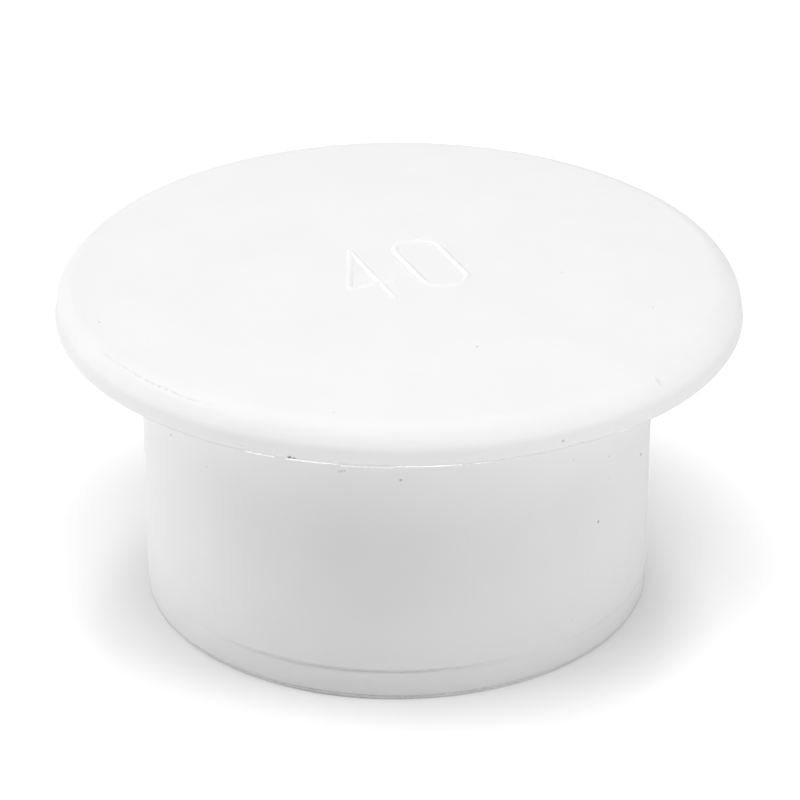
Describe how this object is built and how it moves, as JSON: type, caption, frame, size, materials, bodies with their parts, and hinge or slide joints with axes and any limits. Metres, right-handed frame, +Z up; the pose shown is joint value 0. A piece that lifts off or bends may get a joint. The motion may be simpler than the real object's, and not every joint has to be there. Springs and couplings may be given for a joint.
{
  "type": "pipe cap",
  "caption": "Round white push-in pipe cap: a flanged, softly crowned cover with raised size figures on a hollow plug with a stepped lead-in band and an open foot.",
  "frame": {"origin": "centre of the plug's open foot, on the surface the cap stands on, which is the bounding box's bottom centre", "axes": "+Z up the cap's axis and out through the cover; -Z is the way a pipe comes off the plug; the size figures read from the -Y side, turned 23 degrees about +Z"},
  "size_m": [0.0512, 0.0512, 0.0256],
  "materials": {
    "white_plastic": "satin moulded polyethylene, slightly translucent, with a faint texture and a few specks",
    "thin_flash": "the same plastic as a thin ragged fin, more translucent"
  },
  "bodies": {
    "root": {"cover_disc": "white_plastic", "size_figures": "white_plastic", "rim_flash": "thin_flash", "plug_skirt": "white_plastic", "gate_vestige": "white_plastic", "lead_in_ring": "white_plastic", "foot_flash": "thin_flash"}
  },
  "joints": []
}
